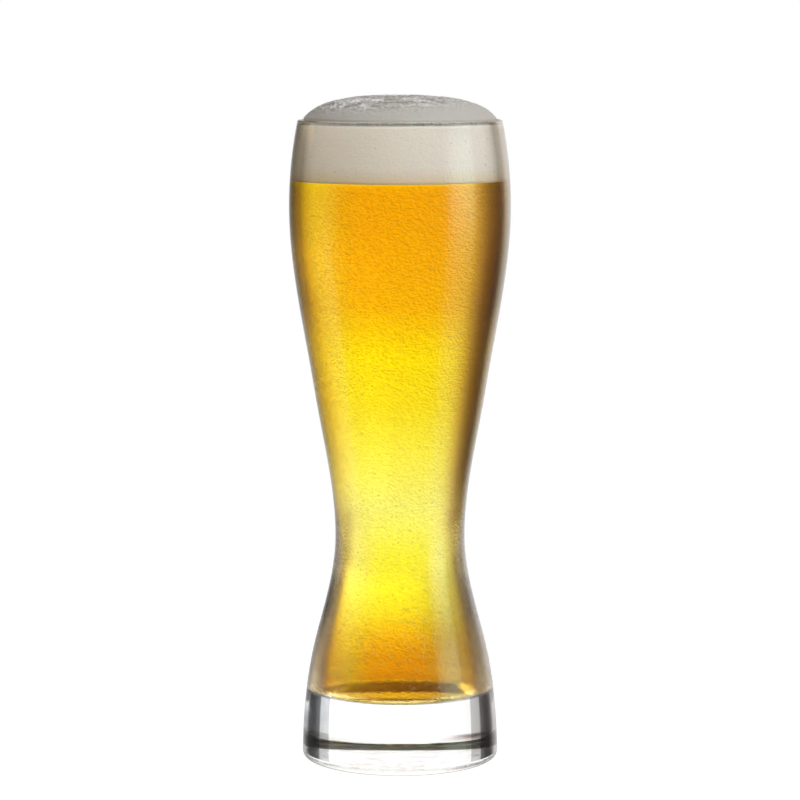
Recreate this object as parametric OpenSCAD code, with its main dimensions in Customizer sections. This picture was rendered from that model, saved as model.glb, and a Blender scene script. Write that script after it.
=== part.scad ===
// Weizen glass: a tall wheat beer glass with a solid foot, a waist and a swelling bowl,
// filled with beer under a domed head of foam. The table is the plane z = 0.

/* [Outline of the glass] */
// Outer diameter of the foot, just above its rounded edge
foot_d = 73.8; // [66:0.2:80]
// Radius that rounds the foot into its underside
foot_round = 2.6; // [1.5:0.1:5]
// Height of the middle of the flare above the table
flare_z = 50; // [38:0.5:62]
// Outer diameter at the middle of the flare
flare_d = 61.4; // [56:0.2:66]
// Rise from the middle of the flare to the waist, the narrowest place
waist_rise = 35; // [26:0.5:46]
// Outer diameter at the waist
waist_d = 48.6; // [44:0.1:54]
// Rise from the waist to the middle of the cone, where the bowl opens steadily
cone_rise = 55; // [40:0.5:70]
// Outer diameter at the middle of the cone
cone_d = 64.2; // [58:0.2:70]
// Rise from the middle of the cone to the belly, the widest place
belly_rise = 68; // [50:0.5:86]
// Outer diameter at the belly
belly_d = 82.6; // [76:0.1:88]
// Rise from the belly to the rim
rim_rise = 32.4; // [22:0.2:42]
// Outer diameter at the rim
rim_d = 76; // [70:0.1:80]

/* [Lean of the outline, radius gained per unit of height] */
// Lean of the foot, nearly upright
foot_lean = -0.02; // [-0.1:0.005:0]
// Lean at the middle of the flare, its steepest place
flare_lean = -0.277; // [-0.34:0.001:-0.2]
// Lean at the middle of the cone
cone_lean = 0.16; // [0.12:0.005:0.2]
// Lean at the rim, where the bowl draws in again
rim_lean = -0.2; // [-0.28:0.005:-0.1]

/* [Wall of the glass] */
// Thickness beside the cavity floor, where the blown wall runs into the solid foot
floor_wall = 13; // [9:0.1:15]
// Thickness at the middle of the flare
flare_wall = 11.2; // [7:0.1:13]
// Thickness at the waist
waist_wall = 7.4; // [4:0.1:9]
// Thickness at the middle of the cone
cone_wall = 4.3; // [2.5:0.1:6]
// Thickness at the belly
belly_wall = 2.2; // [1.6:0.1:3]
// Thickness at the rim, which is melted round
rim_wall = 1.6; // [1.2:0.1:2.4]

/* [Solid foot] */
// Height of the cavity floor, so thickness of the clear foot
floor_z = 24.4; // [20:0.2:32]
// Radius between the cavity floor and its wall
floor_round = 1.6; // [0.8:0.1:6]
// Rise of the middle of the cavity floor, left by the plunger
floor_crown = 0.4; // [0:0.1:1.5]
// Width of the flat ring that the glass rests on
ring_w = 3.6; // [2:0.1:6]
// Depth of the hollow under the foot inside that ring
punt_depth = 1.8; // [0.6:0.1:4]

/* [Filling] */
// Depth of the foam inside the glass, from the rim down to the beer
foam_depth = 22.4; // [8:0.2:60]
// Rise of the foam's dome above the rim
foam_rise = 9.8; // [3:0.1:16]
// Height of the fold where the dome springs from the rim
foam_fold = 1.6; // [0.8:0.1:2.6]

/* [Hidden] */
$fn = 96;
// Straight steps along each stretch of the outline, along the cavity and in each rounding
outline_steps = 14;
cavity_steps = 42;
foam_steps = 10;
round_steps = 10;
dome_steps = 24;
// Where the dome's curve is drawn to, as shares of the foam's radius and of its rise
dome_shoulder_shares = [0.86, 0.72];
dome_crown_share = 0.54;
// How far the fold draws in, as a share of its height
fold_in_share = 0.35;

waist_z = flare_z + waist_rise;
cone_z = waist_z + cone_rise;
belly_z = cone_z + belly_rise;
rim_z = belly_z + rim_rise;

foot_r = foot_d / 2;
ring_r = foot_r - foot_round;
punt_r = ring_r - ring_w;
rim_round = rim_wall / 2;
rim_start_z = rim_z - rim_round;
beer_z = rim_z - foam_depth;
foam_top_z = rim_z + foam_rise;

// Outer outline: heights, radii and leans at its six stations
outline_z = [foot_round, flare_z, waist_z, cone_z, belly_z, rim_z];
outline_r = [foot_r, flare_d / 2, waist_d / 2, cone_d / 2, belly_d / 2, rim_d / 2];
outline_leans = [foot_lean, flare_lean, 0, cone_lean, 0, rim_lean];

// Wall thickness at the same stations, the lowest beside the cavity floor
wall_z = [floor_z, flare_z, waist_z, cone_z, belly_z, rim_z];
wall_t = [floor_wall, flare_wall, waist_wall, cone_wall, belly_wall, rim_wall];
wall_leans = [for (i = [0 : len(wall_z) - 1]) station_lean(wall_z, wall_t, i)];

// Slope from one station to the next
function secant(zs, vs, i) = (vs[i + 1] - vs[i]) / (zs[i + 1] - zs[i]);
// Smooth slope at a station: the mean of the slopes beside it, and level where they turn back
function station_lean(zs, vs, i) =
    i == 0 ? secant(zs, vs, 0) :
    i == len(zs) - 1 ? secant(zs, vs, i - 1) :
    secant(zs, vs, i - 1) * secant(zs, vs, i) <= 0 ? 0 :
    (secant(zs, vs, i - 1) + secant(zs, vs, i)) / 2;
// The stretch between stations that a height lies in
function stretch(zs, z, i = 0) = i >= len(zs) - 2 || z <= zs[i + 1] ? i : stretch(zs, z, i + 1);
// Cubic through two stations with the slope given at each
function cubic(t, span, v0, lean0, v1, lean1) =
    (2 * pow(t, 3) - 3 * pow(t, 2) + 1) * v0 + (pow(t, 3) - 2 * pow(t, 2) + t) * span * lean0
    + (3 * pow(t, 2) - 2 * pow(t, 3)) * v1 + (pow(t, 3) - pow(t, 2)) * span * lean1;
// Value of a smooth curve through stations at one height
function smooth_at(zs, vs, leans, z) =
    let (i = stretch(zs, z), span = zs[i + 1] - zs[i])
    cubic((z - zs[i]) / span, span, vs[i], leans[i], vs[i + 1], leans[i + 1]);
function outer_r(z) = smooth_at(outline_z, outline_r, outline_leans, z);
function wall_at(z) = smooth_at(wall_z, wall_t, wall_leans, z);
function cavity_r(z) = outer_r(z) - wall_at(z);
// Points on an arc around a centre
function arc(centre, radius, from, to, steps) =
    [for (i = [0 : steps]) let (a = from + (to - from) * i / steps)
        centre + radius * [cos(a), sin(a)]];
// Point on a cubic Bezier curve
function bezier(p, t) =
    pow(1 - t, 3) * p[0] + 3 * pow(1 - t, 2) * t * p[1] + 3 * (1 - t) * pow(t, 2) * p[2] + pow(t, 3) * p[3];
// List without its first point, so that joined lists don't repeat one
function tail(points) = [for (i = [1 : len(points) - 1]) points[i]];
function reversed(points) = [for (i = [len(points) - 1 : -1 : 0]) points[i]];

// The wall leans out where it meets the floor's rounding, which starts square to it
floor_lean_angle = atan(-secant([floor_z, floor_z + floor_round],
    [cavity_r(floor_z), cavity_r(floor_z + floor_round)], 0));
floor_arc_z = floor_z + floor_round * (1 + sin(floor_lean_angle));
floor_arc_centre = [cavity_r(floor_arc_z) - floor_round * cos(floor_lean_angle), floor_z + floor_round];

// Cavity floor from the axis to the wall: a low crown, then the rounding
floor_crown_points = [for (i = [0 : round_steps]) let (s = i / round_steps)
    [s * floor_arc_centre[0], floor_z + floor_crown * pow(1 - pow(s, 2), 2)]];
floor_points = concat(floor_crown_points,
    tail(arc(floor_arc_centre, floor_round, -90, floor_lean_angle, round_steps)));
// Cavity wall from the floor's rounding to the beer's surface, and on to the rim
beer_wall_points = [for (i = [0 : cavity_steps])
    let (z = floor_arc_z + (beer_z - floor_arc_z) * i / cavity_steps) [cavity_r(z), z]];
foam_wall_points = [for (i = [0 : foam_steps])
    let (z = beer_z + (rim_start_z - beer_z) * i / foam_steps) [cavity_r(z), z]];
rim_points = arc([(cavity_r(rim_start_z) + outer_r(rim_start_z)) / 2, rim_start_z],
    (outer_r(rim_start_z) - cavity_r(rim_start_z)) / 2, 180, 0, round_steps);
// Outside from the rim down to the foot, each stretch in equal steps
outline_stops = concat([for (i = [0 : len(outline_z) - 2]) outline_z[i]], [rim_start_z]);
outside_points = reversed(concat([[foot_r, foot_round]],
    [for (i = [0 : len(outline_stops) - 2], j = [1 : outline_steps])
        let (z = outline_stops[i] + (outline_stops[i + 1] - outline_stops[i]) * j / outline_steps)
        [outer_r(z), z]]));
foot_points = arc([ring_r, foot_round], foot_round, 0, -90, round_steps);
punt_points = [for (i = [0 : round_steps]) let (s = 1 - i / round_steps)
    [s * punt_r, punt_depth * (1 - pow(s, 2))]];

// Dome of the foam from the rim's inner edge to the axis, with a small fold at its start
fold_r = cavity_r(rim_start_z) - foam_fold * fold_in_share;
fold_z = rim_start_z + foam_fold;
dome_points = [for (i = [0 : dome_steps]) bezier([
    [fold_r, fold_z],
    [fold_r * dome_shoulder_shares[0], fold_z + (foam_top_z - fold_z) * dome_shoulder_shares[1]],
    [fold_r * dome_crown_share, foam_top_z],
    [0, foam_top_z]], i / dome_steps)];

// One piece of pressed and blown glass: solid foot, waist and thin bowl
module glass() {
    color("lightcyan", 0.35)
        rotate_extrude()
            polygon(concat(floor_points, tail(beer_wall_points), tail(foam_wall_points), tail(rim_points),
                tail(outside_points), tail(foot_points), punt_points));
}

// Beer, which fills the cavity from its floor to the foam
module beer() {
    color("orange", 0.8)
        rotate_extrude()
            polygon(concat(floor_points, tail(beer_wall_points), [[0, beer_z]]));
}

// Foam from the beer's surface to the rim, and the dome that stands above it
module foam_head() {
    color("ivory")
        rotate_extrude()
            polygon(concat([[0, beer_z]], foam_wall_points, dome_points));
}

glass();
beer();
foam_head();
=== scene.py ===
import math
import random

import bpy
from bpy.props import FloatProperty, FloatVectorProperty, IntProperty, PointerProperty
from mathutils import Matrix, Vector, noise
from mathutils.bvhtree import BVHTree


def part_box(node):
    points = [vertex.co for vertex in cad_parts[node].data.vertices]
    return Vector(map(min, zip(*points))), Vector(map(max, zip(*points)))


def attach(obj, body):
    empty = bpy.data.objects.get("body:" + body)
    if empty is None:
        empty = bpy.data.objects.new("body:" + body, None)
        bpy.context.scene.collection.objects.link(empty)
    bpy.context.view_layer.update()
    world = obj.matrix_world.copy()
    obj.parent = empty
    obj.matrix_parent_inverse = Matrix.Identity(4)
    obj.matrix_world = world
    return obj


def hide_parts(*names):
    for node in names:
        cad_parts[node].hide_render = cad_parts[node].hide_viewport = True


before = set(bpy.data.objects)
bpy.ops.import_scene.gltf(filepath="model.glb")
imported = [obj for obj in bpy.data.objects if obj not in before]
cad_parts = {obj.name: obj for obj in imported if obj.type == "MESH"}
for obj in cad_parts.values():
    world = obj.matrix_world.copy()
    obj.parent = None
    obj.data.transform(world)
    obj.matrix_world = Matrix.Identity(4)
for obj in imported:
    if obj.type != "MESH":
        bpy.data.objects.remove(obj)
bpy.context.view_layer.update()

bl_info = {
    "name": "Weizen Glass",
    "version": (1, 0, 0),
    "blender": (4, 5, 0),
    "location": "3D View > Sidebar > Weizen Glass",
    "description": "Builds a tall wheat beer glass, its beer, its foam and the dew on its outside",
    "category": "Add Mesh",
}


def tone(*levels):
    """A colour from one grey level, or from its red, green and blue."""
    return (*(levels if len(levels) == 3 else levels * 3), 1)


WHITE = tone(1)


# Sizes and colours that a user would change

class GlassShape(bpy.types.PropertyGroup):
    """Heights and leans of the glass's outline; its radii are measured on the solids."""
    foot_round: FloatProperty(
        name="Foot rounding", description="Radius between the side of the foot and its underside",
        default=0.0034, unit="LENGTH")
    flare_z: FloatProperty(
        name="Flare height", description="Height of the middle of the flare", default=0.050, unit="LENGTH")
    waist_z: FloatProperty(
        name="Waist height", description="Height of the narrowest place", default=0.085, unit="LENGTH")
    cone_z: FloatProperty(
        name="Cone height", description="Height of the middle of the cone", default=0.140, unit="LENGTH")
    belly_z: FloatProperty(
        name="Belly height", description="Height of the widest place", default=0.208, unit="LENGTH")
    foot_lean: FloatProperty(
        name="Foot lean", description="Radius gained per unit of height at the foot", default=-0.02)
    flare_lean: FloatProperty(
        name="Flare lean", description="Radius gained per unit of height on the flare", default=-0.277)
    cone_lean: FloatProperty(
        name="Cone lean", description="Radius gained per unit of height on the cone", default=0.16)
    rim_lean: FloatProperty(
        name="Rim lean", description="Radius gained per unit of height at the rim", default=-0.2)
    floor_round: FloatProperty(
        name="Floor rounding", description="Radius between the cavity's floor and its wall",
        default=0.0008, unit="LENGTH")
    floor_crown: FloatProperty(
        name="Floor crown", description="Rise of the middle of the cavity's floor",
        default=0.0004, unit="LENGTH")
    ring_width: FloatProperty(
        name="Ring width", description="Width of the flat ring that the glass rests on",
        default=0.0036, unit="LENGTH")
    punt_depth: FloatProperty(
        name="Punt depth", description="Depth of the hollow under the foot", default=0.0018, unit="LENGTH")
    around: IntProperty(
        name="Steps around", description="Faces around the glass", default=160, min=24)
    step: FloatProperty(
        name="Step up", description="Height of a face on the glass's side", default=0.0015, unit="LENGTH")


class BeerLook(bpy.types.PropertyGroup):
    """Colour of the beer, and its gap to the glass."""
    tint: FloatVectorProperty(
        name="Absorption tint", description="Colour that white light turns to on its way through the beer",
        default=(0.989, 0.989, 0.011), subtype="COLOR")
    density: FloatProperty(
        name="Density", description="Absorption per metre of beer", default=45.0)
    inset: FloatProperty(
        name="Inset", description="How far the beer's faces stay clear of the glass's",
        default=0.00003, unit="LENGTH")


class FoamLook(bpy.types.PropertyGroup):
    """Shape and colour of the foam."""
    gap: FloatProperty(
        name="Lip gap", description="How far below the rim the foam leaves the glass",
        default=0.0018, unit="LENGTH")
    fold: FloatProperty(
        name="Fold height", description="Height of the fold where the dome springs from the rim",
        default=0.0016, unit="LENGTH")
    colour: FloatVectorProperty(
        name="Foam colour", description="Colour of the foam inside the glass",
        default=(0.755, 0.695, 0.585), subtype="COLOR")
    around: IntProperty(
        name="Steps around", description="Faces around the foam", default=480, min=24)


class DewLook(bpy.types.PropertyGroup):
    """Fine drops of dew on the outside of the bowl."""
    low: FloatProperty(
        name="Lowest drop", description="Height that the dew begins at", default=0.0275, unit="LENGTH")
    count: IntProperty(name="Drops", description="Number of drops", default=7000, min=0)
    smallest: FloatProperty(
        name="Smallest drop", description="Radius of the smallest drops", default=0.0001, unit="LENGTH")
    largest: FloatProperty(
        name="Largest drop", description="Radius of the largest drops", default=0.00026, unit="LENGTH")
    seed: IntProperty(name="Seed", description="Start of the random scatter", default=7)


# Fixed sizes of the shapes, in metres unless a line says otherwise

RIM_ROUND = 0.0009
RIM_STEPS = 14
ROUND_STEPS = 12
# The lowest outside radius is measured this far above the foot's rounding
HAIR = 0.00001
# A place well outside the glass, from which rays find its outside
OUTSIDE_R = 0.2
# The wall is measured from this many floor roundings above the floor
WALL_START = 1.3
# Points nearer to the axis than this are on it
ON_AXIS = 1e-7
# The glass's faces, by their order in its list of materials
WET, OUTER, BASE, DRY = range(4)
# Up to this far above the floor, the beer's points are raised by its inset as well as drawn in
BEER_FLOOR = 0.003

FOAM_STEP = 0.001
# How far the fold draws in, as a share of its height
FOLD_IN = 0.5
# The crease under the fold: how far in from the wall and from the fold, and how far above the lip
CREASE_WALL = (0.0003, 0.0002)
CREASE_FOLD = (0.0002, 0.0008)
DOME_STEPS = 150
# Where the dome's curve is drawn to, as shares of its radius and of its rise
SHOULDER_OUT, SHOULDER_UP, CROWN_OUT = 0.86, 0.72, 0.54
# Bubbles and lumps on the dome: greatest rise, height over which they grow, and their own sizes
BUBBLE_LIFT, BUBBLE_GROWTH, BUBBLE_SIZE, LUMP_SIZE = 0.0009, 0.004, 0.0016, 0.006
# How steep a bubble is, and how wide in its own sizes
BUBBLE_STEEP, BUBBLE_REACH = 1.6, 0.62
# Shares of the greatest rise: a bubble's, a lump's, and what all places lose
BUBBLE_SHARE, LUMP_SHARE, BUBBLE_SINK = 0.55, 0.45, 0.3

# Dew is thickest this far above its lowest drops, and thins out over this height
DEW_PEAK, DEW_SPREAD = 0.016, 0.022
# Chance that a drop stays: added on the flare, and everywhere below and above the foam's height
DEW_ON_FLARE, DEW_ON_BOWL, DEW_ON_FOAM = 0.88, 0.12, 0.04
DEW_FOAM_Z = 0.213
# Few drops are large: the power of the random share between the smallest and the largest
DEW_POWER = 2.5
# A drop keeps this share of its radius inside the glass's widest place
DEW_CLEAR = 0.4
# Half of the height over which the outline's slope under a drop is measured
DEW_SLOPE = 0.001
DROP_SIDES = 7
# A drop in shares of its radius: its two rings with their lift, its top, its foot and its unevenness
DROP_RINGS = ((1, -0.16), (0.74, 0.16))
DROP_TOP, DROP_FOOT = 0.26, 0.2
DROP_TALL, DROP_WOBBLE = (0.9, 1.35), (0.85, 1.15)


# Fixed values of the looks

# How much each matter bends light; the beer's own mesh leaves that to the glass
GLASS_INDEX, BEER_INDEX, WATER_INDEX, NO_INDEX = 1.5, 1.34, 1.33, 1.0

# Heights in metres: the base's ring as (from, to), its rounding as (start, full, still full, end)
BASE_RING = (0.0009, 0.0002)
BASE_ROUNDING = (0.0006, 0.0011, 0.0021, 0.0027)
# Heights at which looks of the outside change, as (from, to) or as (start, full, still full, end)
MIST_FROM = (0.0272, 0.0278)
CREASE_SHADE_BAND = (0.0266, 0.0269, 0.0274, 0.0277)
FLARE_TO = (0.098, 0.086)
FLARE_EDGE_TO = (0.092, 0.066)
MIDDLE_FROM = (0.098, 0.118)
HIGH_FROM = (0.155, 0.178)
FOAM_EDGE_FROM = (0.215, 0.221)
FOAM_BEADS_FROM = (0.214, 0.219)
CALM_BAND = (0.046, 0.066, 0.118, 0.150)
WAIST_BAND = (0.072, 0.078, 0.092, 0.100)
# The beer's colours, painted light and shade, run between these heights; near the lowest its floor and its
# wall's foot are painted pale, as painted light
BEER_SPAN = (0.0244, 0.218)
BEER_FLOOR_TO = (0.0260, 0.0254)
BEER_WALL_FOOT_TO = (0.0266, 0.0258)
# The foam: creamy low down, painted shade at the lip, bright on the dome, and bubbly with painted
# highlights and shade on the crown
CREAM_TO = (0.2175, 0.2245)
LIP_BAND = (0.2384, 0.2390, 0.2395, 0.2402)
DOME_FROM = (0.2404, 0.2412)
CROWN_FROM = (0.2440, 0.2472)
# The crown begins lower on the left: rise per metre to the right
CROWN_LEAN = 0.05

# Ranges of facing, from faces seen square on (0) to the silhouette (1)
BASE_EDGE_FROM, HEAVY_DEW_AND_SHADE_FROM = (0.50, 0.85), (0.36, 0.46)
WAIST_SHADE_FROM, BEER_SIDES_FROM = (0.26, 0.40), (0.03, 0.25)
# The beer's faces count as level where the square of their upward slope passes this
LEVEL_FROM = (0.6, 0.9)
# Ranges of noise: the beads' painted shadows, the specks of painted shade at the lip, and the crown's wisps
# of painted highlight and painted shade
BEAD_SHADOWS_FROM, SPECKS_FROM = (-0.15, 0.10), (0.42, 0.60)
CRESTS_FROM, TROUGHS_FROM = (0.53, 0.60), (0.50, 0.42)
# The beads' painted shadows fall this way
BEAD_SHADOW_SHIFT = (0.00022, 0.0001, 0.0004)
# Scales that stretch the noise along each axis
STREAK_STRETCH, BEAD_STRETCH, WISP_STRETCH = (1, 1, 6), (1, 1, 1.35), (0.5, 1, 1.6)

# Tints, levels of roughness and relief, and the shares that they are laid on with
CAVITY_TINTS = (tone(0.985, 0.99, 0.985), tone(0.995, 1.0, 0.995))
# Painted shade of the foot's underside at its silhouette
BASE_TINTS, BASE_EDGE_SHADE = (tone(0.97), tone(1.0)), tone(0.04)
GROUND_TINT, GROUND_LEAST, GROUND_MORE = tone(0.78, 0.84, 0.97), 0.05, 0.05
RING_ROUGHNESS, WORN_ROUGHNESS = 0.12, 0.55
# Painted shade on the beads' shadowed sides: on the bowl, in the calm band, near the foam and on the
# flare's flanks
BOWL_BEAD_SHADE, CALM_BEAD_SHADE, FOAM_BEAD_SHADE, FLARE_BEAD_SHADE = (
    tone(0.68, 0.55, 0.47), tone(0.80, 0.76, 0.70), tone(0.88), tone(0.42, 0.38, 0.33))
# Painted shade at the waist's sides, and in a dark line round the outside just above the cavity's floor
WAIST_SHADE, CREASE_SHADE, CREASE_SHADE_SHARE = tone(0.66, 0.62, 0.64), tone(0.03), 0.8
BEAD_ROUGHNESS, PATCH_ROUGHNESS, BEAD_RELIEF, HEAVY_RELIEF = 0.05, 0.03, 0.45, 0.6
WATER_TINTS, WATER_ROUGHNESS, WATER_CLOUD = (tone(0.9, 0.9, 0.88), tone(1)), 0.04, 0.04
# Painted light on the beer's floor and the foot of its wall; the beer's random cloud
BEER_FLOOR_TINT, BEER_WALL_FOOT_TINT, BEER_CLOUD = tone(1, 0.86, 0.45), tone(1, 0.84, 0.42), tone(0.97)
CREAM_TINT = tone(0.72, 0.58, 0.36)
CELL_TINT, CELL_SHARE = tone(0.6, 0.56, 0.48), 0.25
# Painted shade under the lip
LIP_SHADE, LIP_LEAST, LIP_SPECKS = tone(0.12, 0.115, 0.105), 0.55, 0.25
DOME_TINT = tone(0.84, 0.815, 0.77)
# Painted shade in the crown's troughs
TROUGH_SHADE, TROUGH_SHARE = tone(0.34, 0.33, 0.31), 0.7
WISP_RELIEF = 9
FOAM_ROUGHNESS, CREST_SMOOTHING, CREST_COAT, COAT_ROUGHNESS = 0.6, 0.25, 0.9, 0.12
FOAM_SCATTER, FOAM_SCATTER_DEPTH = 0.25, 0.002

# Painted shade of the outside, from faces seen square on (0) to the silhouette (1): dark and brownish edges
# that stand in for the light that the glass bends and mirrors
FOOT_EDGE = (
    (0.0, 1), (0.325, 1), (0.335, 0.30), (0.44, 0.20), (0.46, 0.014), (0.53, 0.003), (0.60, 0.001),
    (0.68, 0.003), (0.76, 0.12), (1.0, 0.05))
FLARE_EDGE = (
    (0.0, 1), (0.33, 1), (0.38, 0.78, 0.66, 0.46), (0.43, 0.38, 0.28, 0.15), (0.47, 0.19, 0.14, 0.08),
    (0.52, 0.17, 0.13, 0.07), (0.58, 0.30, 0.24, 0.14), (0.66, 0.60, 0.53, 0.40),
    (0.75, 0.84, 0.78, 0.66), (1.0, 0.84, 0.78, 0.66))
LOW_EDGE = (
    (0.0, 1), (0.24, 1), (0.32, 0.96, 0.87, 0.82), (0.42, 0.90, 0.76, 0.62), (0.50, 0.92, 0.72, 0.42),
    (0.60, 0.82, 0.62, 0.34), (0.70, 0.72, 0.55, 0.33), (0.85, 0.46, 0.36, 0.24), (1.0, 0.30, 0.24, 0.18))
MIDDLE_EDGE = (
    (0.0, 1), (0.22, 1), (0.28, 0.96, 0.90, 0.98), (0.35, 0.93, 0.80, 0.94), (0.437, 0.82, 0.64, 0.82),
    (0.52, 0.60, 0.42, 0.42), (0.60, 0.48, 0.34, 0.28), (0.70, 0.40, 0.29, 0.20),
    (0.85, 0.30, 0.22, 0.15), (1.0, 0.25, 0.19, 0.13))
HIGH_EDGE = (
    (0.0, 1), (0.27, 1), (0.37, 0.97, 0.86, 1.0), (0.47, 0.70, 0.53, 0.52), (0.57, 0.24, 0.15, 0.09),
    (0.70, 0.10, 0.08, 0.05), (0.85, 0.08, 0.06, 0.04), (1.0, 0.08, 0.06, 0.04))
FOAM_EDGE = (
    (0.0, 1), (0.38, 1), (0.46, 0.79, 0.77, 0.74), (0.55, 0.33, 0.31, 0.28), (0.62, 0.36, 0.32, 0.27),
    (0.80, 0.20, 0.18, 0.15), (1.0, 0.12, 0.11, 0.10))

# Colours of the beer, painted light and shade, from its floor (0) to the foam (1), in its middle and
# towards its sides
BEER_MIDDLE = (
    (0.0, 0.44, 0.15, 0.004), (0.018, 0.57, 0.205, 0.001), (0.08, 0.80, 0.345, 0.001),
    (0.18, 1, 0.84, 0.08), (0.277, 1, 0.92, 0.19), (0.376, 0.87, 0.82, 0.74), (0.475, 0.89, 0.78, 0.44),
    (0.574, 0.89, 0.71, 0.12), (0.667, 0.97, 0.75, 0.02), (0.766, 0.90, 0.47, 0.01),
    (0.922, 0.875, 0.40, 0.01))
BEER_SIDES = (
    (0.0, 0.48, 0.22, 0.02), (0.018, 0.53, 0.30, 0.04), (0.08, 0.64, 0.41, 0.045), (0.18, 1, 0.84, 0.20),
    (0.376, 0.94, 0.88, 0.60), (0.574, 0.93, 0.76, 0.12), (0.667, 0.97, 0.80, 0.06),
    (0.766, 0.84, 0.61, 0.04), (0.85, 0.93, 0.67, 0.03), (0.93, 1, 0.72, 0.03))

# Light of the surround by azimuth in degrees: 0 behind the glass, 90 to its right, 180 before it.
# Seen through the glass: behind it, through its foot, further down, under it, and up at the window
LIGHT_BEHIND = (
    (-180, 0.9), (-150, 1.2), (-60, 1.2), (-52, 0.8, 0.75, 0.7), (-46, 0.27, 0.23, 0.2),
    (-42, 0.12, 0.08, 0.07), (-37, 0.16, 0.10, 0.09), (-32, 0.22, 0.15, 0.14), (-27.6, 0.42, 0.31, 0.3),
    (-24, 0.72, 0.58, 0.6), (-21, 0.96, 0.86, 0.9), (-17, 1.12, 1.08, 1.1), (-12, 1.26), (-6, 1.32),
    (10, 1.32), (15, 1.18, 1.17, 1.16), (30, 1.04, 1.0, 0.96), (40, 0.88, 0.85, 0.8),
    (56, 0.7, 0.67, 0.62), (80, 1), (150, 1.05), (180, 0.9))
LIGHT_FOOT = ((-180, 1.2), (-60, 0.95), (-22, 0.98), (-12, 1.16), (0, 1.22), (20, 1.22), (180, 1.2))
LIGHT_BELOW = (
    (-180, 1.2), (-60, 1.2), (-48, 0.75), (-35, 0.5), (-24, 0.52), (-20, 0.70), (-17, 0.86), (-13, 1.0),
    (-9, 1.12), (-5, 1.32), (0, 1.45), (13, 1.47), (20, 1.62), (30, 2.1), (45, 2.4), (60, 1.6),
    (90, 1.2), (180, 1.2))
LIGHT_UNDER = ((-180, 1), (-88, 1), (-76, 0.04), (76, 0.04), (88, 1), (180, 1))
LIGHT_WINDOW = (
    (-180, 2.2, 2.05, 1.75), (-150, 1.25, 1.05, 0.75), (-110, 0.85, 0.68, 0.42), (-80, 1.3), (60, 1.3),
    (80, 0.9), (110, 2.4, 2.5, 2.6), (140, 5.9, 6.4, 7.3), (165, 4.7, 5.0, 5.6), (180, 2.2, 2.05, 1.75))
# On surfaces that aren't clear
LIGHT_KEY = (
    (-180, 0.42, 0.41, 0.38), (-150, 0.18, 0.165, 0.14), (-110, 0.10, 0.09, 0.07),
    (-60, 0.18, 0.16, 0.13), (0, 0.31, 0.29, 0.26), (60, 0.26, 0.24, 0.22), (100, 0.40, 0.39, 0.37),
    (140, 1.15, 1.14, 1.11), (165, 0.95, 0.94, 0.92), (180, 0.42, 0.41, 0.38))
# Mirrored by the glass: low and high, with a strip on the left
MIRRORED_LOW = (
    (-180, 0.02), (-150, 0.03), (-120, 0.05), (-106, 0.2), (-99, 0.85), (-85, 0.55), (-62, 0.2),
    (-36, 0.3), (-25, 0.7), (-6, 1), (8, 1), (22, 0.9), (38, 0.5), (48, 0.12), (70, 0.15), (82, 0.4),
    (94, 0.5), (98, 0.75), (115, 0.8), (124, 0.6), (130, 0.2), (136, 0.04), (180, 0.02))
MIRRORED_HIGH = (
    (-180, 0.02), (-150, 0.03), (-118, 0.05), (-106, 0.35, 0.35, 0.3), (-85, 0.25, 0.25, 0.2),
    (-62, 0.1), (-36, 0.04), (-25, 0.1), (-10, 0.5), (8, 1), (22, 1.2), (29, 1.5, 1.4, 1.3),
    (37, 1.5, 1.4, 1.3), (44, 0.5, 0.4, 0.35), (60, 0.2, 0.15, 0.12), (82, 0.5, 0.5, 0.4),
    (94, 0.9, 1, 0.9), (97, 2.0, 2.7, 2.3), (105, 2.4, 3.5, 2.8), (115, 2.4, 3.3, 2.8),
    (122, 2, 2.7, 2.3), (127, 1.2, 1.5, 1.4), (131, 0.5), (136, 0.1), (180, 0.02))
LEFT_STRIP = ((-180, 0), (-74, 0), (-65, 1), (-46, 1), (-38, 0), (180, 0))
# Elevations in degrees at which one light gives way to the next, as (from, to)
FOOT_UP, FOOT_DOWN, UNDER_DOWN, TABLE_DOWN = (-21.5, -20), (-31, -36), (-45.5, -48), (-53, -57)
BEHIND_UP, WINDOW_UP, SKY_UP = (-12, -9.5), (7.5, 10), (42, 62)
MIRRORED_HIGH_UP, FOAM_STRIP_UP, DIM_UP, MIRRORED_SKY_UP = (-18, 4), (3, 11), (12, 16), (30, 50)
LEFT_STRIP_RISE = (5.5, 8.5, 9, 14)
TABLE_LIGHT, SKY_LIGHT, MIRRORED_SKY, MIRRORED_DIM = tone(0.8), tone(0.25), tone(3), tone(0.05)
DIM_SHARE = 0.5
FOAM_STRIP_TINT, LEFT_STRIP_LIGHT = tone(0.95, 0.8, 0.92), tone(2.2, 1.8, 1.2)

FLOOR_RADIUS, FLOOR_SIDES, FLOOR_Z = 0.32, 48, -0.0002
FLOOR_LEVEL, FLOOR_GLOW = 0.3, 0.93

# The lamp: place as azimuth to the camera's right, distance and height, then aim, side and watts
LAMP_AZIMUTH, LAMP_DISTANCE, LAMP_Z = 28, 1.1, 0.75
LAMP_AIM, LAMP_SIDE, LAMP_POWER = Vector((0, 0, 0.15)), 0.6, 0.8

# The camera: place, degrees that it looks down, and lens, sensor and near clip
CAMERA_PLACE, CAMERA_DOWN = (0, -1.2229, 0.27245), 6.379
CAMERA_LENS, CAMERA_SENSOR, CAMERA_CLIP = 147.87, 36, 0.01


# Shader expressions

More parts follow.
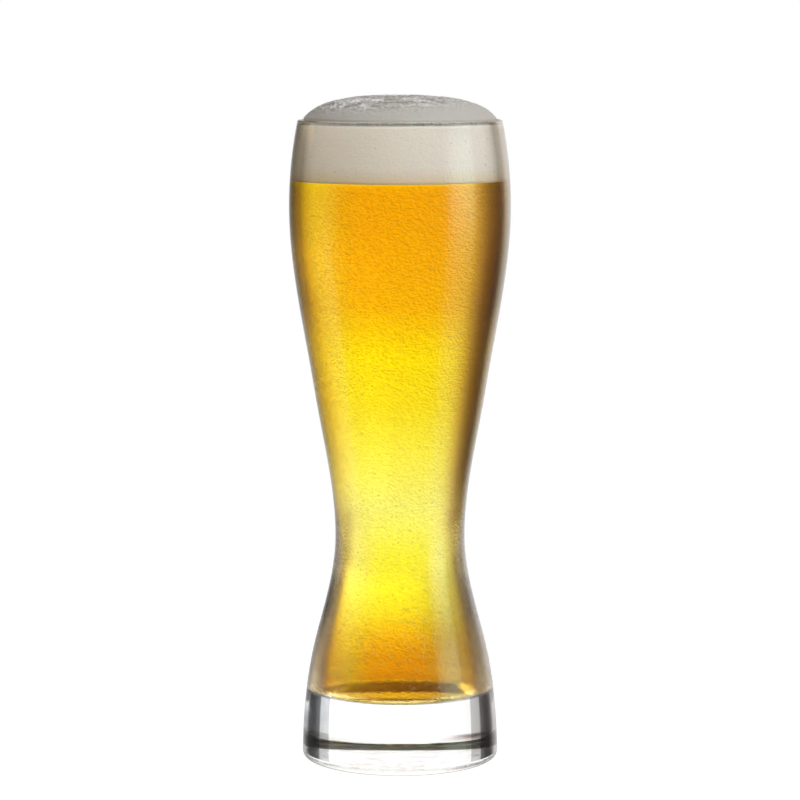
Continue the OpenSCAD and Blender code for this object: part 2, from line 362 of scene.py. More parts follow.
class Value:
    """A node socket in an expression: arithmetic on it adds Math nodes to its tree."""

    def __init__(self, shader, socket):
        self.shader = shader
        self.socket = socket

    def __add__(self, other):
        return self.shader.math("ADD", self, other)

    def __sub__(self, other):
        return self.shader.math("SUBTRACT", self, other)

    def __rsub__(self, other):
        return self.shader.math("SUBTRACT", other, self)

    def __mul__(self, other):
        return self.shader.math("MULTIPLY", self, other)

    __radd__ = __add__
    __rmul__ = __mul__

    def clamped(self):
        return self.shader.math("MULTIPLY", self, 1, use_clamp=True)


class Shader:
    """Writes one node tree."""

    def __init__(self, tree):
        self.tree = tree
        tree.nodes.clear()

    def node(self, kind, settings=None, sockets=None, output=0):
        """Adds any node: its settings first, then the values or links of its sockets."""
        made = self.tree.nodes.new(kind)
        for name, value in (settings or {}).items():
            if name == "stops":
                self.set_stops(made.color_ramp, value)
            else:
                setattr(made, name, value)
        for name, value in (sockets or {}).items():
            if isinstance(value, Value):
                self.tree.links.new(value.socket, made.inputs[name])
            else:
                made.inputs[name].default_value = value
        return Value(self, made.outputs[output]) if len(made.outputs) else made

    @staticmethod
    def set_stops(ramp, stops):
        """Gives a ramp its stops, from rows of (position, grey) or (position, red, green, blue)."""
        while len(ramp.elements) < len(stops):
            ramp.elements.new(1)
        for element, (position, *levels) in zip(ramp.elements, stops):
            element.position = position
            element.color = tone(*levels)

    # Numbers

    def math(self, operation, first, second=0.0, use_clamp=False):
        settings = {"operation": operation, "use_clamp": use_clamp}
        return self.node("ShaderNodeMath", settings, {0: first, 1: second})

    def smooth(self, value, start, end):
        """0 up to the start and 1 from the end on, eased between; the start may be the higher."""
        sockets = {"Value": value, "From Min": start, "From Max": end}
        return self.node("ShaderNodeMapRange", {"interpolation_type": "SMOOTHSTEP"}, sockets)

    def between(self, value, start, full, still_full, end):
        """1 within a band and 0 outside it, eased at both sides."""
        return self.smooth(value, start, full) * self.smooth(value, end, still_full)

    def share(self, value, low, high):
        """0 at the low value and 1 at the high one."""
        return self.node("ShaderNodeMapRange", None, {"Value": value, "From Min": low, "From Max": high})

    def noise(self, size, detail, roughness=0.5, distortion=0.0, vector=None):
        sockets = {"Vector": vector or self.position(), "Scale": 1 / size, "Detail": detail,
                   "Roughness": roughness, "Distortion": distortion}
        return self.node("ShaderNodeTexNoise", sockets=sockets)

    # Places and directions

    def position(self):
        return self.node("ShaderNodeTexCoord", output="Object")

    def stretched(self, scale):
        """Object coordinates times a scale for each axis."""
        return self.node("ShaderNodeVectorMath", {"operation": "MULTIPLY"}, {0: self.position(), 1: scale})

    def moved(self, vector, offset):
        return self.node("ShaderNodeVectorMath", {"operation": "ADD"}, {0: vector, 1: offset})

    def axis(self, vector, name):
        return self.node("ShaderNodeSeparateXYZ", None, {0: vector}, output=name)

    def height(self):
        return self.axis(self.position(), "Z")

    def facing(self):
        """0 on faces seen square on, up to 1 at the silhouette."""
        return self.node("ShaderNodeLayerWeight", None, {"Blend": 0.5}, output="Facing")

    def entering(self):
        """1 where light goes into a piece, 0 where it comes out."""
        return 1 - self.node("ShaderNodeNewGeometry", output="Backfacing")

    def ray(self, kind):
        """1 on rays of a kind: Camera, Glossy or Transmission."""
        return self.node("ShaderNodeLightPath", output=f"Is {kind} Ray")

    # Colours

    def ramp(self, value, stops):
        return self.node("ShaderNodeValToRGB", {"stops": stops}, {0: value})

    def mix(self, factor, first, second, blend="MIX"):
        settings = {"data_type": "RGBA", "blend_type": blend}
        return self.node("ShaderNodeMix", settings, {0: factor, 6: first, 7: second}, output=2)

    def times(self, first, second, factor=1.0):
        return self.mix(factor, first, second, blend="MULTIPLY")

    def layered(self, colour, *layers):
        """A colour with others laid over it in order, each as (factor, colour)."""
        for factor, over in layers:
            colour = self.mix(factor, colour, over)
        return colour

    # Surfaces

    def bump(self, height, distance, strength=1.0):
        return self.node("ShaderNodeBump", None, {
            "Strength": strength, "Distance": distance, "Height": height})

    def principled(self, sockets):
        return self.node("ShaderNodeBsdfPrincipled", {"distribution": "MULTI_GGX"}, sockets)

    def clear(self, tint, roughness, index, **more):
        """A clear surface that bends light by its index."""
        return self.principled({
            "Base Color": tint, "Roughness": roughness, "IOR": index, "Transmission Weight": 1.0, **more})

    def mixed(self, factor, first, second):
        return self.node("ShaderNodeMixShader", None, {0: factor, 1: first, 2: second})

    def finish(self, surface, **more):
        self.node("ShaderNodeOutputMaterial", None, {"Surface": surface, **more})


def new_material(name):
    material = bpy.data.materials.new(name)
    material.use_nodes = True
    return material, Shader(material.node_tree)


# Outlines

def secant(heights, values, i):
    """Slope from one station to the next."""
    return (values[i + 1] - values[i]) / (heights[i + 1] - heights[i])


def station_leans(heights, values):
    """Smooth slope at each station: the mean of the slopes beside it, and level where they turn back."""
    slopes = [secant(heights, values, i) for i in range(len(heights) - 1)]
    inner = [0 if a * b <= 0 else (a + b) / 2 for a, b in zip(slopes, slopes[1:])]
    return [slopes[0], *inner, slopes[-1]]


def smooth_at(stations, z):
    """Value at height z of the cubic curve through stations of (height, value, lean)."""
    i = 0
    while i < len(stations) - 2 and z > stations[i + 1][0]:
        i += 1
    (z0, v0, lean0), (z1, v1, lean1) = stations[i], stations[i + 1]
    span = z1 - z0
    t = (z - z0) / span
    return ((2 * t**3 - 3 * t**2 + 1) * v0 + (t**3 - 2 * t**2 + t) * span * lean0
            + (3 * t**2 - 2 * t**3) * v1 + (t**3 - t**2) * span * lean1)


def arc(centre, radius, start, end, steps):
    """Points on an arc from one angle to another, in degrees."""
    angles = (math.radians(start + (end - start) * i / steps) for i in range(steps + 1))
    return [(centre[0] + radius * math.cos(a), centre[1] + radius * math.sin(a)) for a in angles]


def bezier(ends, t):
    """Point on a cubic Bezier curve."""
    weights = ((1 - t) ** 3, 3 * (1 - t) ** 2 * t, 3 * (1 - t) * t**2, t**3)
    return tuple(sum(w * point[k] for w, point in zip(weights, ends)) for k in (0, 1))


class Outline:
    """The glass's outline and its cavity, with radii measured on the solids."""

    def __init__(self, shape):
        self.shape = shape
        self.rim_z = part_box("glass")[1][2]
        self.rim_start_z = self.rim_z - RIM_ROUND
        self.floor_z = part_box("beer")[0][2]
        self.beer_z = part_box("beer")[1][2]
        self.foam_top_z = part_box("foam_head")[1][2]
        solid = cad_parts["glass"].data
        self.tree = BVHTree.FromPolygons(
            [v.co for v in solid.vertices], [tuple(p.vertices) for p in solid.polygons])
        upper = [shape.flare_z, shape.waist_z, shape.cone_z, shape.belly_z, self.rim_start_z]
        heights = [shape.foot_round + HAIR, *upper]
        radii = [self.measured(z, start=OUTSIDE_R, way=-1) for z in heights]
        leans = [shape.foot_lean, shape.flare_lean, 0, shape.cone_lean, 0, shape.rim_lean]
        self.outside = list(zip(heights, radii, leans))
        wall_heights = [self.floor_z + shape.floor_round * WALL_START, *upper]
        walls = [self.outer(z) - self.measured(z, start=0, way=1) for z in wall_heights]
        self.walls = list(zip(wall_heights, walls, station_leans(wall_heights, walls)))

    def measured(self, z, start, way):
        """Radius of the solid's first face at height z, from a start outwards or inwards."""
        return self.tree.ray_cast(Vector((start, 0, z)), Vector((way, 0, 0)))[0].x

    def outer(self, z):
        return smooth_at(self.outside, z)

    def cavity(self, z):
        return self.outer(z) - smooth_at(self.walls, z)

    def heights(self, low, high, step):
        """Equal steps of about the given height, both ends included."""
        count = max(2, round((high - low) / step))
        return [low + (high - low) * i / count for i in range(count + 1)]

    def floor_points(self):
        """Cavity floor from the axis out to the wall."""
        low, radius = self.floor_z, self.shape.floor_round
        rise = self.cavity(low + radius * 2) - self.cavity(low + radius)
        lean = math.atan(-rise / radius)
        arc_z = low + radius * (1 + math.sin(lean))
        centre = (self.cavity(arc_z) - radius * math.cos(lean), low + radius)
        shares = [i / ROUND_STEPS for i in range(ROUND_STEPS + 1)]
        crown = [(s * centre[0], low + self.shape.floor_crown * (1 - s**2) ** 2) for s in shares]
        return crown + arc(centre, radius, -90, math.degrees(lean), ROUND_STEPS)[1:]

    def cavity_points(self, step):
        """Cavity from the axis on its floor up the wall to the foam."""
        floor = self.floor_points()
        wall = [(self.cavity(z), z) for z in self.heights(floor[-1][1], self.beer_z, step)]
        return floor + wall[1:]

    def rim_points(self):
        """The melted rim, from the cavity over to the outside."""
        r_in, r_out = self.cavity(self.rim_start_z), self.outer(self.rim_start_z)
        middle, half = (r_in + r_out) / 2, (r_out - r_in) / 2
        top = self.rim_z - self.rim_start_z
        return [(middle + half * x, self.rim_start_z + top * y)
                for x, y in arc((0, 0), 1, 180, 0, RIM_STEPS)]

    def base_points(self):
        """Rounding of the foot, the ring that it rests on, and the punt up to the axis."""
        shape = self.shape
        ring_r = self.outer(shape.foot_round) - shape.foot_round
        punt_r = ring_r - shape.ring_width
        foot = arc((ring_r, shape.foot_round), shape.foot_round, 0, -90, ROUND_STEPS)
        shares = [1 - i / ROUND_STEPS for i in range(ROUND_STEPS + 1)]
        return foot + [(s * punt_r, shape.punt_depth * (1 - s**2)) for s in shares]

    def glass_points(self):
        """The whole section as (radius, height, face), from the cavity's floor round to the punt."""
        step = self.shape.step
        dry = [(self.cavity(z), z) for z in self.heights(self.beer_z, self.rim_start_z, step)]
        side = [(self.outer(z), z) for z in self.heights(self.shape.foot_round, self.rim_start_z, step)]
        faces = ((WET, self.cavity_points(step)), (DRY, dry[1:]),
                 (OUTER, self.rim_points()[1:] + side[::-1][1:]), (BASE, self.base_points()[1:]))
        return [(r, z, face) for face, points in faces for r, z in points]


# Meshes

def revolve(name, points, around, materials):
    """A closed mesh by turning (radius, height, material index) points about the axis."""
    vertices, rings = [], []
    for r, z, _ in points:
        if r < ON_AXIS:
            rings.append([len(vertices)])
            vertices.append((0, 0, z))
        else:
            rings.append(list(range(len(vertices), len(vertices) + around)))
            angles = (math.tau * i / around for i in range(around))
            vertices.extend((r * math.cos(a), r * math.sin(a), z) for a in angles)
    faces, slots = [], []
    for (low, high), (_, _, slot) in zip(zip(rings, rings[1:]), points[1:]):
        for i in range(around):
            j = (i + 1) % around
            if len(low) == 1:
                faces.append((low[0], high[j], high[i]))
            elif len(high) == 1:
                faces.append((low[i], low[j], high[0]))
            else:
                faces.append((low[i], low[j], high[j], high[i]))
            slots.append(slot)
    return outward(mesh_object(name, vertices, faces, materials, slots))


def mesh_object(name, vertices, faces, materials, slots=None):
    """A smooth-shaded mesh in the scene; slots name each face's material."""
    mesh = bpy.data.meshes.new(name)
    mesh.from_pydata(vertices, [], faces)
    for material in materials:
        mesh.materials.append(material)
    if slots:
        mesh.polygons.foreach_set("material_index", slots)
    mesh.polygons.foreach_set("use_smooth", [True] * len(mesh.polygons))
    mesh.update()
    made = bpy.data.objects.new(name, mesh)
    bpy.context.scene.collection.objects.link(made)
    return made


def outward(obj):
    """Turns faces over if they point into the solid."""
    mesh = obj.data
    volume = sum(p.area * p.normal.dot(p.center) for p in mesh.polygons)
    if volume < 0:
        mesh.flip_normals()
    return obj


# Materials

def cavity_glass(name, index):
    """The cavity's face: index is how much more it bends light than what touches it."""
    material, shader = new_material(name)
    streak = shader.noise(size=0.02, detail=1.0)
    shader.finish(shader.clear(shader.mix(streak, *CAVITY_TINTS), 0.0, index))
    return material


def base_glass():
    """Underside of the foot: clear, with a ground ring and rounding that are faintly uneven, and painted
    shade that darkens it towards the silhouette.
    """
    material, shader = new_material("base_glass")
    streak = shader.noise(size=0.004, detail=2.0, vector=shader.stretched(STREAK_STRETCH))
    z = shader.height()
    ring = shader.smooth(z, *BASE_RING)
    worn = shader.between(z, *BASE_ROUNDING)
    tint = shader.mix(streak, *BASE_TINTS)
    # Painted shade: near black towards the silhouette
    tint = shader.mix(shader.smooth(shader.facing(), *BASE_EDGE_FROM), tint, BASE_EDGE_SHADE)
    roughness = ring * streak * RING_ROUGHNESS + worn * streak * WORN_ROUGHNESS
    relief = shader.bump(streak, distance=0.00008)
    clear = shader.clear(tint, roughness, GLASS_INDEX, Normal=relief)
    ground = shader.node("ShaderNodeBsdfDiffuse", None, {"Color": GROUND_TINT, "Normal": relief})
    shader.finish(shader.mixed(GROUND_LEAST + streak * GROUND_MORE, clear, ground))
    return material


def misted_glass_painted_shade():
    """Outside of the glass: clear at the foot, and misted with fine dew above it; painted shade darkens it
    towards the silhouette, on the beads' sides and in a line just above the cavity's floor.
    """
    material, shader = new_material("misted_glass_painted_shade")
    z = shader.height()
    facing = shader.facing()
    misted = shader.smooth(z, *MIST_FROM)

    # Painted shade: darker towards the silhouette, in its own way at each height, and more so on the flare
    edge = shader.layered(
        shader.ramp(facing, LOW_EDGE),
        (shader.smooth(z, *MIDDLE_FROM), shader.ramp(facing, MIDDLE_EDGE)),
        (shader.smooth(z, *HIGH_FROM), shader.ramp(facing, HIGH_EDGE)),
        (shader.smooth(z, *FOAM_EDGE_FROM), shader.ramp(facing, FOAM_EDGE)))
    flare_edge = shader.mix(shader.smooth(z, *FLARE_EDGE_TO), WHITE, shader.ramp(facing, FLARE_EDGE))
    edge = shader.times(edge, flare_edge)

    # Fine beads, with painted shadows on one side of each, darker on the flare's flanks where the beads
    # also stand out more
    place = shader.stretched(BEAD_STRETCH)
    beads = shader.noise(size=0.001, detail=2.0, distortion=0.5, vector=place)
    shifted = shader.noise(size=0.001, detail=2.0, distortion=0.5, vector=shader.moved(place, BEAD_SHADOW_SHIFT))
    bead_shadows = shader.smooth(beads - shifted, *BEAD_SHADOWS_FROM)
    heavy_dew_and_shade = shader.smooth(z, *FLARE_TO) * shader.smooth(facing, *HEAVY_DEW_AND_SHADE_FROM)
    bead_shade = shader.layered(
        BOWL_BEAD_SHADE,
        (shader.between(z, *CALM_BAND), CALM_BEAD_SHADE),
        (shader.smooth(z, *FOAM_BEADS_FROM), FOAM_BEAD_SHADE),
        (heavy_dew_and_shade, FLARE_BEAD_SHADE))
    edge = shader.times(edge, shader.mix(bead_shadows, bead_shade, WHITE))
    shade = shader.smooth(facing, *WAIST_SHADE_FROM) * shader.between(z, *WAIST_BAND)
    edge = shader.times(edge, WAIST_SHADE, shade)

    # Painted shade: a dark line round the outside, just above the height of the cavity's floor, on faces
    # that light enters
    crease = shader.between(z, *CREASE_SHADE_BAND) * shader.entering()
    # Painted shade towards the silhouette, also at the foot below the mist
    tint = shader.mix(misted, shader.ramp(facing, FOOT_EDGE), edge)
    tint = shader.mix(crease * CREASE_SHADE_SHARE, tint, CREASE_SHADE)
    patches = shader.noise(size=0.0045, detail=1.0)
    roughness = (beads * BEAD_ROUGHNESS + patches * PATCH_ROUGHNESS) * misted
    relief = shader.bump(beads * misted * (BEAD_RELIEF + heavy_dew_and_shade * HEAVY_RELIEF), distance=0.0001)
    shader.finish(shader.clear(tint, roughness, GLASS_INDEX, Normal=relief))
    return material


def dew_water():
    """Clear water, a little cloudy from drop to drop."""
    material, shader = new_material("dew_water")
    cloud = shader.noise(size=0.0012, detail=1.0)
    ripple = shader.bump(cloud, distance=0.00002, strength=0.5)
    roughness = WATER_ROUGHNESS + cloud * WATER_CLOUD
    shader.finish(shader.clear(shader.mix(cloud, *WATER_TINTS), roughness, WATER_INDEX, Normal=ripple))
    return material


def beer_liquid(look):
    """Beer: brown and orange near its floor, palest in the waist and orange again under the foam; these
    bands, the paler sides and the pale floor are painted light and shade, standing in for the light behind
    the beer and for its thickness.
    """
    material, shader = new_material("beer")
    z = shader.height()
    share = shader.share(z, *BEER_SPAN)
    # Painted light and shade: colour by height, and paler towards the sides
    tint = shader.mix(
        shader.smooth(shader.facing(), *BEER_SIDES_FROM),
        shader.ramp(share, BEER_MIDDLE), shader.ramp(share, BEER_SIDES))
    slope = shader.axis(shader.node("ShaderNodeNewGeometry", output="Normal"), "Z")
    # Painted light: the beer's floor and the foot of its wall are paler
    floor = shader.smooth(slope * slope, *LEVEL_FROM) * shader.smooth(z, *BEER_FLOOR_TO)
    wall_foot = shader.smooth(z, *BEER_WALL_FOOT_TO) * shader.entering()
    tint = shader.layered(tint, (floor, BEER_FLOOR_TINT), (wall_foot, BEER_WALL_FOOT_TINT))
    tint = shader.times(tint, shader.mix(shader.noise(size=0.012, detail=2.0), BEER_CLOUD, WHITE))
    volume = shader.node("ShaderNodeVolumeAbsorption", None, {
        "Color": (*look.tint, 1), "Density": look.density})
    shader.finish(shader.clear(tint, 0.0, NO_INDEX), Volume=volume)
    return material


def foam_material(look):
    """Dense foam: creamy at the beer, speckled with painted shade under the lip, and bubbly on the crown
    with painted highlights and shade in its wisps.
    """
    material, shader = new_material("foam")
    z = shader.height()
    cells = shader.noise(size=0.0012, detail=3.0)
    specks = shader.smooth(shader.noise(size=0.0007, detail=1.0), *SPECKS_FROM)
    # Painted shade: dark specks in a band under the lip
    lip = shader.between(z, *LIP_BAND) * (LIP_LEAST + specks * LIP_SPECKS)
    crown = shader.smooth(z - shader.axis(shader.position(), "X") * CROWN_LEAN, *CROWN_FROM)
    place = shader.stretched(WISP_STRETCH)
    wisps = shader.noise(size=0.0042, detail=4.0, roughness=0.62, distortion=1.0, vector=place)
    # Painted highlights on the wisps' crests and painted shade in their troughs; the crests are also
    # glossier
    crest_highlights = crown * shader.smooth(wisps, *CRESTS_FROM)
    trough_shade = crown * shader.smooth(wisps, *TROUGHS_FROM)
    colour = shader.layered(
        shader.mix(shader.smooth(z, *CREAM_TO), CREAM_TINT, (*look.colour, 1)),
        (cells * CELL_SHARE, CELL_TINT), (lip, LIP_SHADE), (shader.smooth(z, *DOME_FROM), DOME_TINT),
        (trough_shade * TROUGH_SHARE, TROUGH_SHADE), (crest_highlights, WHITE))
    shader.finish(shader.principled({
        "Base Color": colour, "Roughness": FOAM_ROUGHNESS - crest_highlights * CREST_SMOOTHING,
        "Subsurface Weight": FOAM_SCATTER, "Subsurface Scale": FOAM_SCATTER_DEPTH,
        "Coat Weight": crest_highlights * CREST_COAT, "Coat Roughness": COAT_ROUGHNESS,
        "Normal": shader.bump(cells + crown * wisps * WISP_RELIEF, distance=0.00015, strength=0.8)}))
    return material


# Operators

def outline_of(context):
    return Outline(context.scene.weizen_shape)


class WEIZEN_OT_glass(bpy.types.Operator):
    """Builds the glass: solid foot, flare, waist, bowl and rim in one piece"""
    bl_idname = "weizen.glass"
    bl_label = "Glass"

    def execute(self, context):
        outline = outline_of(context)
        wet = cavity_glass("wet_glass", GLASS_INDEX / BEER_INDEX)
        dry = cavity_glass("dry_glass", GLASS_INDEX)
        # In the order WET, OUTER, BASE, DRY
        materials = [wet, misted_glass_painted_shade(), base_glass(), dry]
        glass = revolve("glass_body", outline.glass_points(), outline.shape.around, materials)
        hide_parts("glass")
        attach(glass, "root")
        return {"FINISHED"}


class WEIZEN_OT_beer(bpy.types.Operator):
    """Fills the cavity with beer up to the foam"""
    bl_idname = "weizen.beer"
    bl_label = "Beer"

    def execute(self, context):
        outline = outline_of(context)
        look = context.scene.weizen_beer
        floor_top = outline.floor_z + BEER_FLOOR
        points = [(max(0, r - look.inset), z + (look.inset if z < floor_top else 0), 0)
                  for r, z in outline.cavity_points(outline.shape.step)]
        points.append((0, outline.beer_z, 0))
        beer = revolve("beer_body", points, outline.shape.around, [beer_liquid(look)])
        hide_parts("beer")
        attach(beer, "root")
        return {"FINISHED"}


class WEIZEN_OT_foam(bpy.types.Operator):
    """Builds the foam: a plug in the rim and a bubbly dome above it"""
    bl_idname = "weizen.foam"
    bl_label = "Foam"

    def execute(self, context):
        outline = outline_of(context)
        look = context.scene.weizen_foam
        fold_z = outline.rim_start_z + look.fold
        section = self.section(outline, look, fold_z, context.scene.weizen_beer.inset)
        points = [(r, z, 0) for r, z in section]
        foam = revolve("foam_head", points, look.around, [foam_material(look)])
        self.raise_bubbles(foam, fold_z)
        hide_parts("foam_head")
        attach(foam, "root")
        return {"FINISHED"}

    @staticmethod
    def section(outline, look, fold_z, inset):
        """From the axis at the beer up the glass's wall, through the crease and over the dome."""
        low, lip = outline.beer_z - inset, outline.rim_z - look.gap
        wall = [(outline.cavity(z) + inset, z) for z in outline.heights(low, lip, FOAM_STEP)]
        fold_r = outline.cavity(outline.rim_start_z) - look.fold * FOLD_IN
        crease = [(r - inward, lip + lift)
                  for r, (inward, lift) in ((wall[-1][0], CREASE_WALL), (fold_r, CREASE_FOLD))]
        top = outline.foam_top_z - BUBBLE_LIFT
        shoulder = (fold_r * SHOULDER_OUT, fold_z + (top - fold_z) * SHOULDER_UP)
        ends = [(fold_r, fold_z), shoulder, (fold_r * CROWN_OUT, top), (0, top)]
        dome = [bezier(ends, i / DOME_STEPS) for i in range(DOME_STEPS + 1)]
        return [(0, low), *wall, *crease, *dome]

    @staticmethod
    def raise_bubbles(foam, fold_z):
        """Lifts the dome's points into bubbles and lumps, most on the crown."""
        for vertex in foam.data.vertices:
            place = vertex.co
            if place.z < fold_z:
                continue
            share = min(1, (place.z - fold_z) / BUBBLE_GROWTH)
            near = noise.voronoi(place / BUBBLE_SIZE)[0][0]
            bubble = max(0, 1 - near * BUBBLE_STEEP) ** 0.5 if near < BUBBLE_REACH else 0
            lump = noise.noise(place / LUMP_SIZE) * 0.5 + 0.5
            place.z += BUBBLE_LIFT * share * (BUBBLE_SHARE * bubble + LUMP_SHARE * lump - BUBBLE_SINK)


class WEIZEN_OT_dew(bpy.types.Operator):
    """Scatters fine drops of dew over the outside, thickest on the flare"""
    bl_idname = "weizen.dew"
    bl_label = "Dew"

    def execute(self, context):
        outline = outline_of(context)
        look = context.scene.weizen_dew
        scatter = random.Random(look.seed)
        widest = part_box("glass")[1][0]
        vertices, faces = [], []
        made = 0
        while made < look.count:
            z = scatter.uniform(look.low, outline.rim_start_z)
            if scatter.random() > self.thickness(z, look.low):
                continue
            r = outline.outer(z)
            radius = look.smallest + (look.largest - look.smallest) * scatter.random() ** DEW_POWER
            if r + radius * DEW_CLEAR > widest:
                continue
            rise = outline.outer(z + DEW_SLOPE) - outline.outer(z - DEW_SLOPE)
            self.drop(vertices, faces, scatter, r, z, math.atan(rise / (2 * DEW_SLOPE)), radius)
            made += 1
        dew = outward(mesh_object("dew", vertices, faces, [dew_water()]))
        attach(dew, "root")
        return {"FINISHED"}

    @staticmethod
    def thickness(z, low):
        """Chance that a drop at height z stays: most on the flare, few on the bowl."""
        flare = math.exp(-((z - low - DEW_PEAK) / DEW_SPREAD) ** 2)
        return (DEW_ON_BOWL if z < DEW_FOAM_Z else DEW_ON_FOAM) + DEW_ON_FLARE * flare

    @staticmethod
    def drop(vertices, faces, scatter, r, z, slope, radius):
        """Adds one low cap, a little sunk in the glass."""
        turn = scatter.uniform(0, math.tau)
        out = Vector((math.cos(slope) * math.cos(turn), math.cos(slope) * math.sin(turn), -math.sin(slope)))
        along = Vector((-math.sin(turn), math.cos(turn), 0))
        up = out.cross(along)
        centre = Vector((r * math.cos(turn), r * math.sin(turn), z))
        tall = scatter.uniform(*DROP_TALL)
        start = len(vertices)
        for share, lift in DROP_RINGS:
            for i in range(DROP_SIDES):
                a = math.tau * i / DROP_SIDES
                wobble = radius * share * scatter.uniform(*DROP_WOBBLE)
                place = centre + along * (wobble * math.cos(a)) + up * (wobble * math.sin(a) * tall)
                vertices.append(place + out * (radius * lift))
        top = len(vertices)
        vertices.append(centre + out * (radius * DROP_TOP))
        vertices.append(centre - out * (radius * DROP_FOOT))
        for i in range(DROP_SIDES):
            j = (i + 1) % DROP_SIDES
            low, low_next, mid, mid_next = (start + n for n in (i, j, DROP_SIDES + i, DROP_SIDES + j))
            faces.append((low, low_next, mid_next, mid))
            faces.append((mid, mid_next, top))
            faces.append((low_next, low, top + 1))


class WEIZEN_OT_stage(bpy.types.Operator):
    """Adds the pale floor, the soft light and the camera"""
    bl_idname = "weizen.stage"
    bl_label = "Stage"

    def execute(self, context):
        add_floor()
        add_world()
        add_lamp()
        add_camera()
        context.scene.view_settings.view_transform = "Standard"
        return {"FINISHED"}


# Stage

def add_floor():
    """A pale round table; the glass mirrors and shows the surround's light in its place."""
    ring = [(x, y, FLOOR_Z) for x, y in arc((0, 0), FLOOR_RADIUS, 0, 360, FLOOR_SIDES)[:-1]]
    material, shader = new_material("pale_floor")
    lit = shader.node("ShaderNodeBsdfDiffuse", None, {"Color": tone(FLOOR_LEVEL)})
    glow = shader.node("ShaderNodeEmission", None, {"Color": WHITE, "Strength": FLOOR_GLOW})
    seen = shader.node("ShaderNodeAddShader", None, {0: lit, 1: glow})
    surround = shader.node("ShaderNodeBsdfTransparent", None, {"Color": WHITE})
    table = shader.mixed(shader.ray("Camera"), lit, seen)
    by_glass = (shader.ray("Glossy") + shader.ray("Transmission")).clamped()
    shader.finish(shader.mixed(by_glass, table, surround))
    floor = mesh_object("floor", ring, [tuple(range(FLOOR_SIDES))], [material])


def add_world():
    """A white surround, with softer levels where the glass mirrors it or bends it."""
    world = bpy.data.worlds.new("studio")
    world.use_nodes = True
    bpy.context.scene.world = world
    shader = Shader(world.node_tree)
    direction = shader.node("ShaderNodeTexCoord", output="Generated")
    x, y, z = (shader.axis(direction, name) for name in "XYZ")
    rise = shader.math("ARCSINE", z) * math.degrees(1)
    azimuth = shader.math("ARCTAN2", x, y) * math.degrees(1)
    turn = shader.share(azimuth, -180, 180)

    def around(stops):
        return shader.ramp(turn, [((degrees + 180) / 360, *levels) for degrees, *levels in stops])

    def from_rise(band, light):
        return shader.smooth(rise, *band), light

    foot = around(LIGHT_FOOT)
    seen_through = shader.layered(
        around(LIGHT_BELOW), from_rise(FOOT_UP, foot), from_rise(BEHIND_UP, around(LIGHT_BEHIND)),
        from_rise(FOOT_DOWN, foot), from_rise(UNDER_DOWN, around(LIGHT_UNDER)),
        from_rise(TABLE_DOWN, TABLE_LIGHT), from_rise(WINDOW_UP, around(LIGHT_WINDOW)))
    high = around(MIRRORED_HIGH)
    high = shader.layered(
        high, from_rise(FOAM_STRIP_UP, shader.times(high, FOAM_STRIP_TINT)),
        (shader.smooth(rise, *DIM_UP) * DIM_SHARE, MIRRORED_DIM))
    left_strip = around(LEFT_STRIP) * shader.between(rise, *LEFT_STRIP_RISE)
    mirrored = shader.layered(
        around(MIRRORED_LOW), from_rise(MIRRORED_HIGH_UP, high), (left_strip, LEFT_STRIP_LIGHT),
        from_rise(MIRRORED_SKY_UP, MIRRORED_SKY))
    colour = shader.layered(
        around(LIGHT_KEY), from_rise(SKY_UP, SKY_LIGHT), (shader.ray("Glossy"), mirrored),
        (shader.ray("Transmission"), seen_through), (shader.ray("Camera"), WHITE))
    background = shader.node("ShaderNodeBackground", None, {"Color": colour, "Strength": 1.0})
    shader.node("ShaderNodeOutputWorld", None, {"Surface": background})


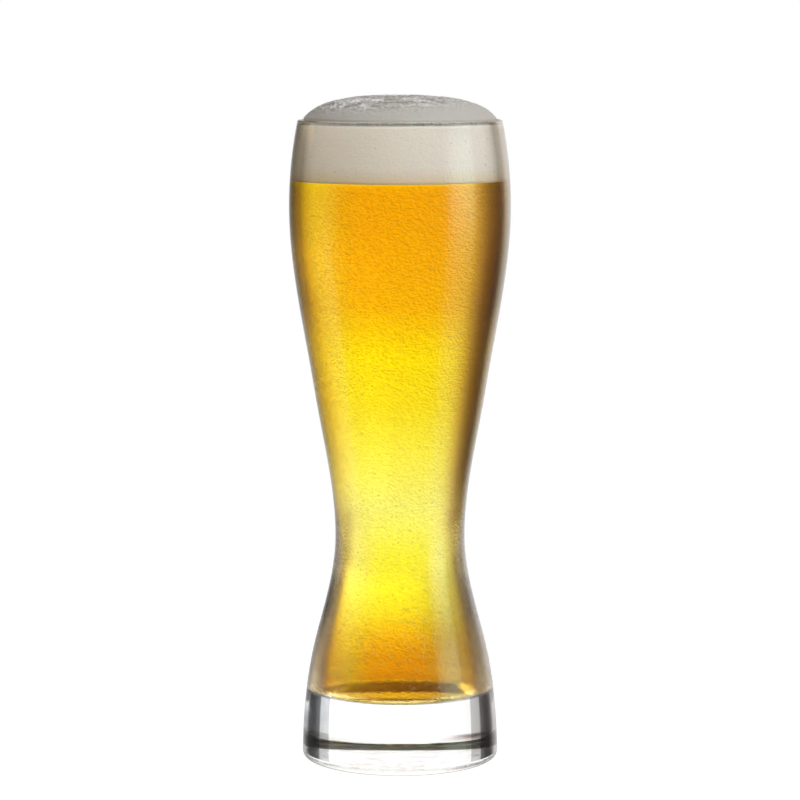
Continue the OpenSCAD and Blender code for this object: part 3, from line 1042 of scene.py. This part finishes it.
def add_lamp():
    """A soft lamp on the camera's right, which the glass neither mirrors nor shows."""
    data = bpy.data.lights.new("key_right", "AREA")
    data.shape = "SQUARE"
    data.size = LAMP_SIDE
    data.energy = LAMP_POWER
    lamp = bpy.data.objects.new("key_right", data)
    bpy.context.scene.collection.objects.link(lamp)
    azimuth = math.radians(LAMP_AZIMUTH)
    lamp.location = (LAMP_DISTANCE * math.sin(azimuth), -LAMP_DISTANCE * math.cos(azimuth), LAMP_Z)
    lamp.rotation_euler = (LAMP_AIM - lamp.location).to_track_quat("-Z", "Y").to_euler()
    lamp.visible_glossy = False
    lamp.visible_transmission = False


def add_camera():
    data = bpy.data.cameras.new("camera")
    data.lens = CAMERA_LENS
    data.sensor_width = CAMERA_SENSOR
    data.clip_start = CAMERA_CLIP
    camera = bpy.data.objects.new("camera", data)
    bpy.context.scene.collection.objects.link(camera)
    camera.location = CAMERA_PLACE
    camera.rotation_euler = (math.radians(90 - CAMERA_DOWN), 0, 0)
    bpy.context.scene.camera = camera


# Panel and registration

class WEIZEN_PT_panel(bpy.types.Panel):
    """Lists the glass's pieces"""
    bl_idname = "WEIZEN_PT_panel"
    bl_label = "Weizen Glass"
    bl_space_type = "VIEW_3D"
    bl_region_type = "UI"
    bl_category = "Weizen Glass"

    def draw(self, context):
        for operator in OPERATORS:
            self.layout.operator(operator.bl_idname)


GROUPS = {
    "weizen_shape": GlassShape, "weizen_beer": BeerLook, "weizen_foam": FoamLook, "weizen_dew": DewLook}
OPERATORS = (WEIZEN_OT_glass, WEIZEN_OT_beer, WEIZEN_OT_foam, WEIZEN_OT_dew, WEIZEN_OT_stage)
CLASSES = (*GROUPS.values(), *OPERATORS, WEIZEN_PT_panel)


def register():
    for cls in CLASSES:
        bpy.utils.register_class(cls)
    for name, group in GROUPS.items():
        setattr(bpy.types.Scene, name, PointerProperty(type=group))


def unregister():
    for name in GROUPS:
        delattr(bpy.types.Scene, name)
    for cls in reversed(CLASSES):
        bpy.utils.unregister_class(cls)


def main():
    register()
    bpy.ops.weizen.glass()
    bpy.ops.weizen.beer()
    bpy.ops.weizen.foam()
    bpy.ops.weizen.dew()
    bpy.ops.weizen.stage()


if __name__ == "__main__":
    main()
